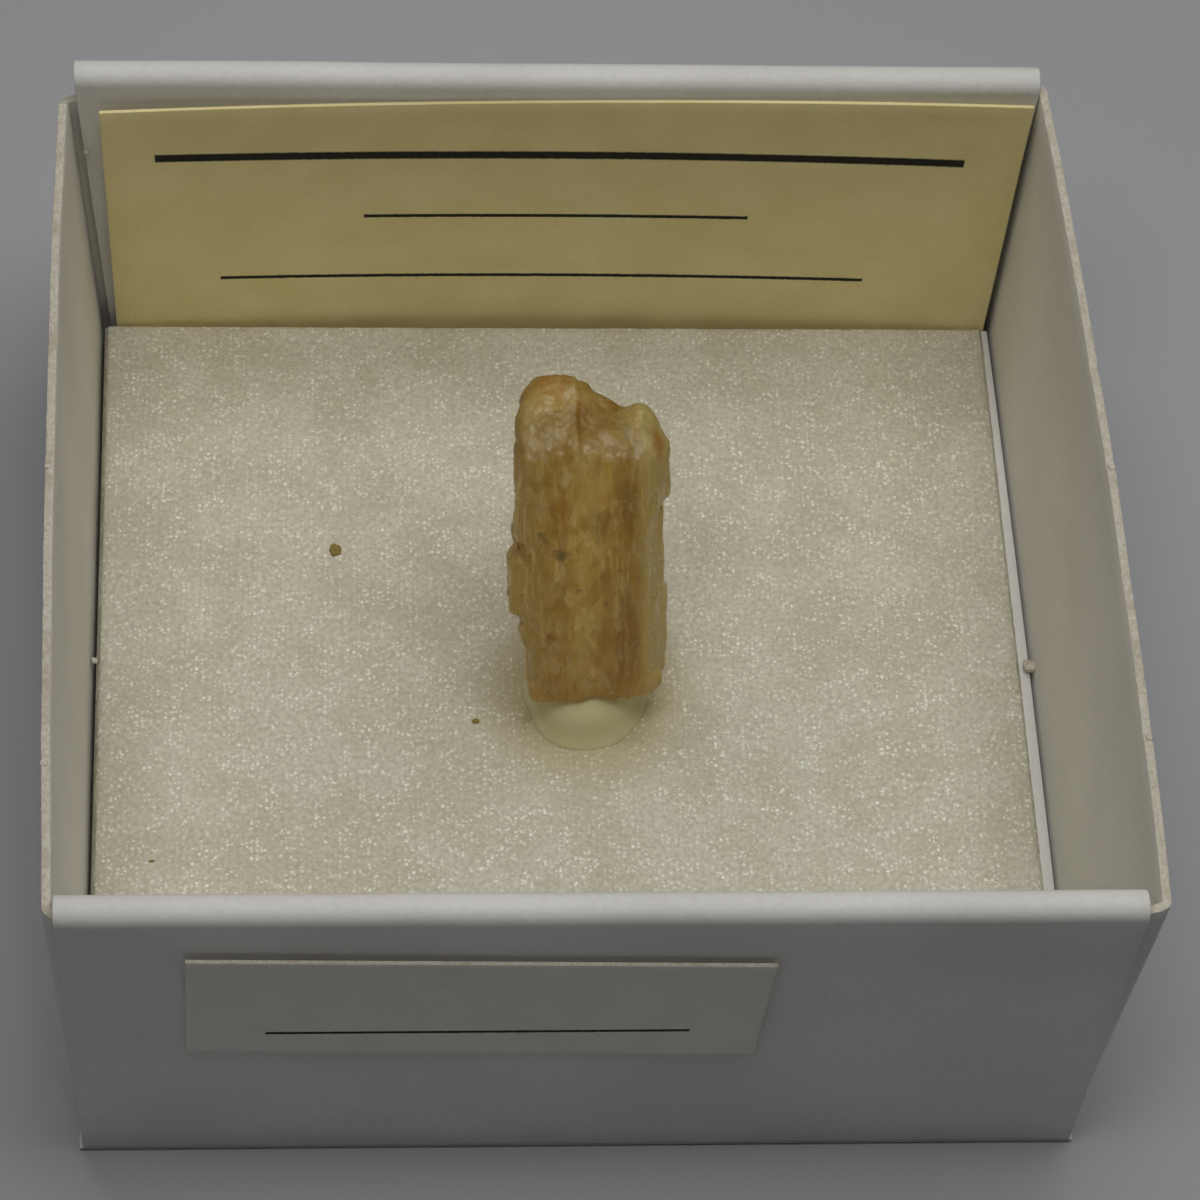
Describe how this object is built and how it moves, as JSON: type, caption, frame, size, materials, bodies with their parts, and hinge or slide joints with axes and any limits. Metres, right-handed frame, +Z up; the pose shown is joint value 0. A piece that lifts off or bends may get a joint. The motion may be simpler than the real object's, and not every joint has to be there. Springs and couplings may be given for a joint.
{
  "type": "topaz crystal in a specimen tray",
  "caption": "Striated honey topaz crystal standing on a blob of putty in a small folded card specimen tray with a foam pad and two blank cards.",
  "frame": {"origin": "middle of the tray's flat base, on the surface it stands on", "axes": "+Z up, +Y from the front wall with the small card to the back wall with the large card, +X to the right as seen from the front"},
  "size_m": [0.042, 0.0403, 0.0202],
  "materials": {
    "white_coated_card": "satin coating, bare card at the cut edges",
    "white_polyethylene_foam": "fine sparkling foamed skin",
    "pale_green_putty": "smooth, slightly translucent",
    "honey_topaz": "cloudy, striated lengthwise, rough at the broken top",
    "pale_yellow_card": "matt",
    "off_white_card": "matt"
  },
  "bodies": {
    "root": {"card_tray": "white_coated_card", "foam_pad": "white_polyethylene_foam", "mounting_putty": "pale_green_putty", "topaz_crystal": "honey_topaz", "specimen_label": "pale_yellow_card", "number_label": "off_white_card"}
  },
  "joints": []
}
